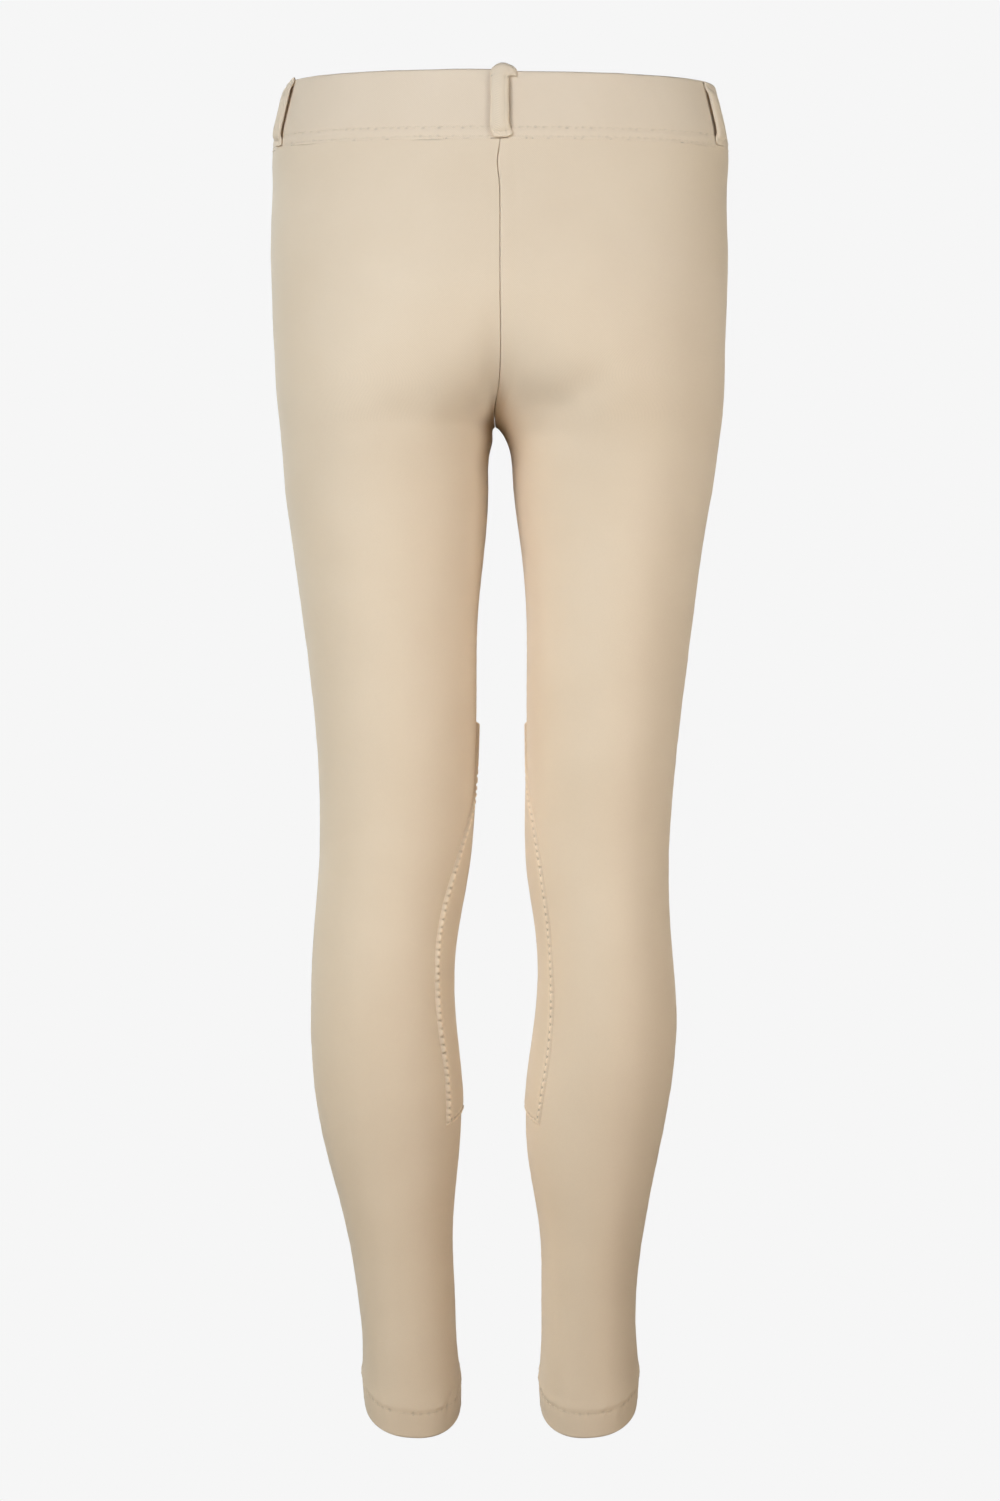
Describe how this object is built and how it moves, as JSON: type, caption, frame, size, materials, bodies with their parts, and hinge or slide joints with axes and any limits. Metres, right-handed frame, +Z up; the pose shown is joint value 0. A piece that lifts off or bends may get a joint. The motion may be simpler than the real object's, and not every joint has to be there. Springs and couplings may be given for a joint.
{
  "type": "riding breeches",
  "caption": "Pull-on riding breeches with tapered legs, wide elastic waistband, belt loops and inner knee patches, open and hollow as when worn.",
  "frame": {"origin": "centre of the waist opening, half way up the waistband, where the wearer holds it", "axes": "+Z up out of the waist, +Y to the wearer's back, +X to the wearer's left"},
  "size_m": [0.2664, 0.1932, 0.7899],
  "materials": {
    "leg_cloth": "matte beige stretch twill",
    "waistband_cloth": "the same twill, doubled over elastic",
    "belt_loop_cloth": "the same twill, folded into a strip",
    "knee_patch_cloth": "the same twill with a raised stitched edge"
  },
  "bodies": {
    "root": {"back_left": "leg_cloth", "back_right": "leg_cloth", "front_left": "leg_cloth", "front_right": "leg_cloth", "waistband": "waistband_cloth", "belt_loop_back": "belt_loop_cloth", "belt_loop_side_left": "belt_loop_cloth", "belt_loop_side_right": "belt_loop_cloth", "belt_loop_front_left": "belt_loop_cloth", "belt_loop_front_right": "belt_loop_cloth", "knee_patch_left": "knee_patch_cloth", "knee_patch_right": "knee_patch_cloth"}
  },
  "joints": []
}
